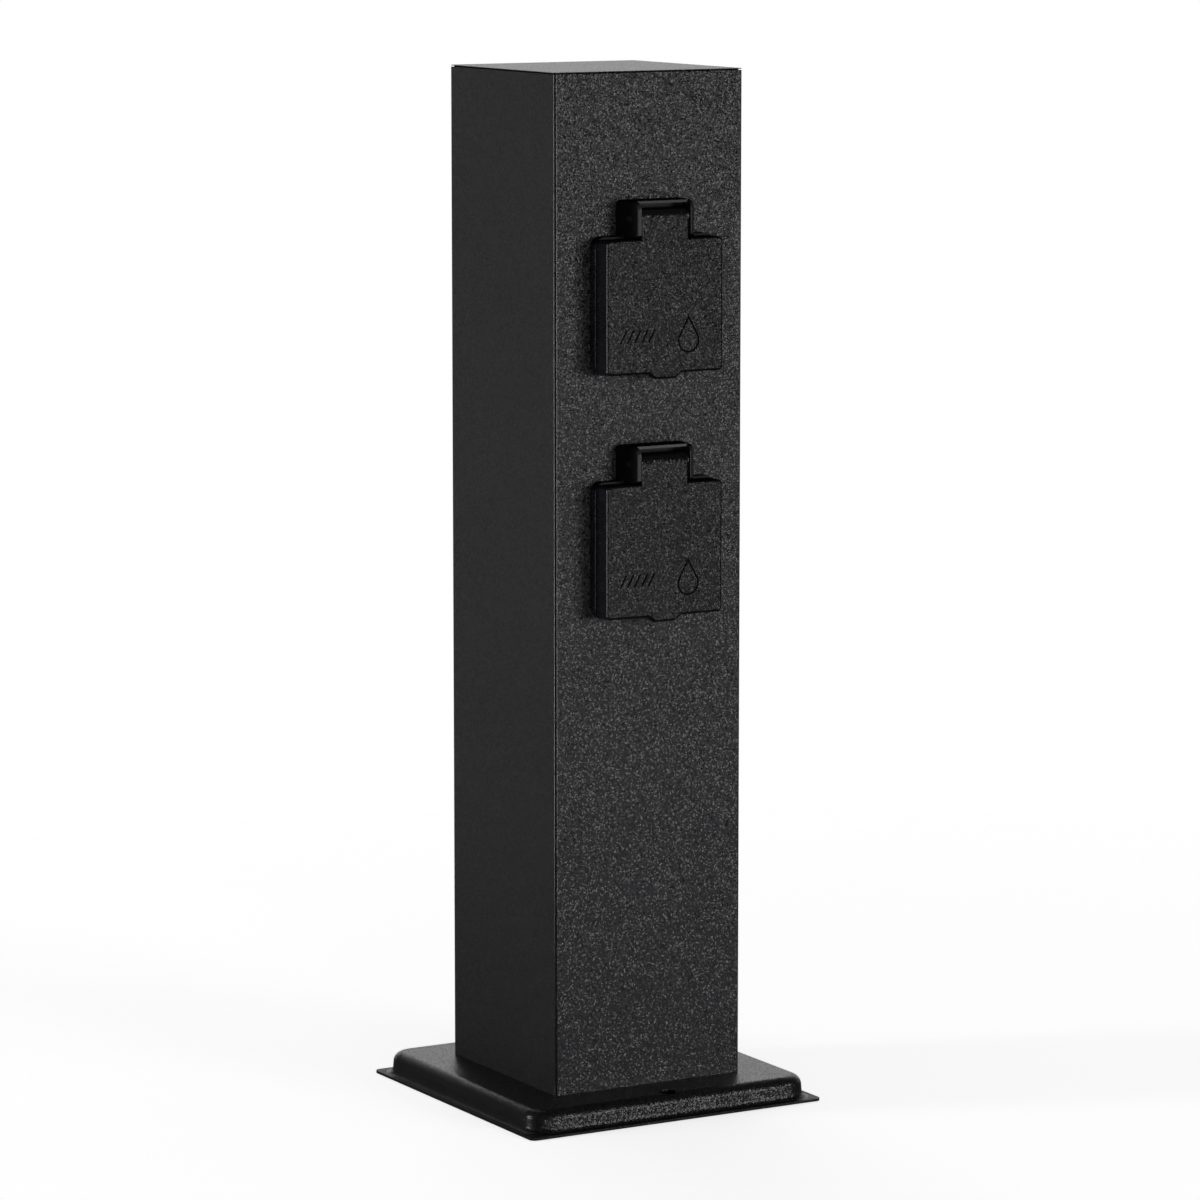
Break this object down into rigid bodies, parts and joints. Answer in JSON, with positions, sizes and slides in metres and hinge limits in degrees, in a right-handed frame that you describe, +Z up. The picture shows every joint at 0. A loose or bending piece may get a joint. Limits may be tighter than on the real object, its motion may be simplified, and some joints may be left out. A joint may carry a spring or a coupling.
{
  "type": "outdoor socket",
  "caption": "Square steel socket column on a pressed base plate, with earthed outlets under sprung hinged splash lids on its front.",
  "frame": {"origin": "centre of the base plate's underside, on the ground", "axes": "+Z up, outlets face -Y, +X to the right of someone facing the outlets"},
  "size_m": [0.1264, 0.1264, 0.3914],
  "materials": {
    "column_paint": "anthracite fine-texture powder coat",
    "base_paint": "black satin powder coat",
    "frame_plastic": "smooth black moulding",
    "lid_plastic": "fine spark-eroded grain on the front",
    "carrier_plastic": "moulded light grey",
    "shutter_plastic": "moulded white",
    "block_plastic": "moulded white",
    "gland_plastic": "moulded black",
    "rubber": "black soft rubber",
    "zinc_steel": "zinc plated",
    "stainless": "drawn wire",
    "spring_steel": "drawn spring wire",
    "brass": "machined",
    "tinned_copper": "tinned strip",
    "live_insulation": "smooth",
    "neutral_insulation": "smooth",
    "earth_insulation": "smooth, two colours"
  },
  "bodies": {
    "column": {"base_plate": "base_paint", "block_clamp_screws": "zinc_steel", "block_clamps": "brass", "column_shell": "column_paint", "earth_stud": "zinc_steel", "earth_stud_nuts": "zinc_steel", "earth_wires": "earth_insulation", "foot_nuts": "zinc_steel", "foot_screws": "zinc_steel", "foot_washers": "zinc_steel", "gland_body": "gland_plastic", "gland_dome_nut": "gland_plastic", "gland_lock_nut": "gland_plastic", "gland_seal": "rubber", "left_foot_bracket": "zinc_steel", "live_wires": "live_insulation", "lower_contact_carrier": "carrier_plastic", "lower_earth_clips": "tinned_copper", "lower_face_screw": "zinc_steel", "lower_gasket": "rubber", "lower_hinge_pin": "stainless", "lower_lid_spring": "spring_steel", "lower_pin_contacts": "brass", "lower_shutter_spring": "spring_steel", "lower_socket_body": "frame_plastic", "lower_terminal_screws": "zinc_steel", "neutral_wires": "neutral_insulation", "outlet_nuts": "zinc_steel", "outlet_screws": "zinc_steel", "right_foot_bracket": "zinc_steel", "ring_lug": "tinned_copper", "terminal_block": "block_plastic", "terminal_block_fasteners": "zinc_steel", "terminal_rail": "zinc_steel", "top_cap": "column_paint", "upper_contact_carrier": "carrier_plastic", "upper_earth_clips": "tinned_copper", "upper_face_screw": "zinc_steel", "upper_gasket": "rubber", "upper_hinge_pin": "stainless", "upper_lid_spring": "spring_steel", "upper_pin_contacts": "brass", "upper_shutter_spring": "spring_steel", "upper_socket_body": "frame_plastic", "upper_terminal_screws": "zinc_steel"},
    "upper_lid_body": {"upper_lid": "lid_plastic", "upper_lid_seal": "rubber"},
    "upper_shutter_body": {"upper_shutter": "shutter_plastic"},
    "lower_lid_body": {"lower_lid": "lid_plastic", "lower_lid_seal": "rubber"},
    "lower_shutter_body": {"lower_shutter": "shutter_plastic"}
  },
  "joints": [
    {"name": "upper_lid_hinge", "type": "hinge", "parent": "column", "child": "upper_lid_body", "pos_m": [0, -0.0483, 0.3376], "axis": [-1, 0, 0], "range_deg": [0, 102], "stiffness_Nm_per_rad": 0.012, "springref_deg": -51.57, "deforming": ["upper_lid_spring"]},
    {"name": "upper_shutter_turn", "type": "hinge", "parent": "column", "child": "upper_shutter_body", "pos_m": [0, -0.027, 0.3056], "axis": [0, -1, 0], "range_deg": [0, 38], "stiffness_Nm_per_rad": 0.001, "springref_deg": -34.38, "deforming": ["upper_shutter_spring"]},
    {"name": "lower_lid_hinge", "type": "hinge", "parent": "column", "child": "lower_lid_body", "pos_m": [0, -0.0483, 0.247], "axis": [-1, 0, 0], "range_deg": [0, 102], "stiffness_Nm_per_rad": 0.012, "springref_deg": -51.57, "deforming": ["lower_lid_spring"]},
    {"name": "lower_shutter_turn", "type": "hinge", "parent": "column", "child": "lower_shutter_body", "pos_m": [0, -0.027, 0.215], "axis": [0, -1, 0], "range_deg": [0, 38], "stiffness_Nm_per_rad": 0.001, "springref_deg": -34.38, "deforming": ["lower_shutter_spring"]}
  ]
}
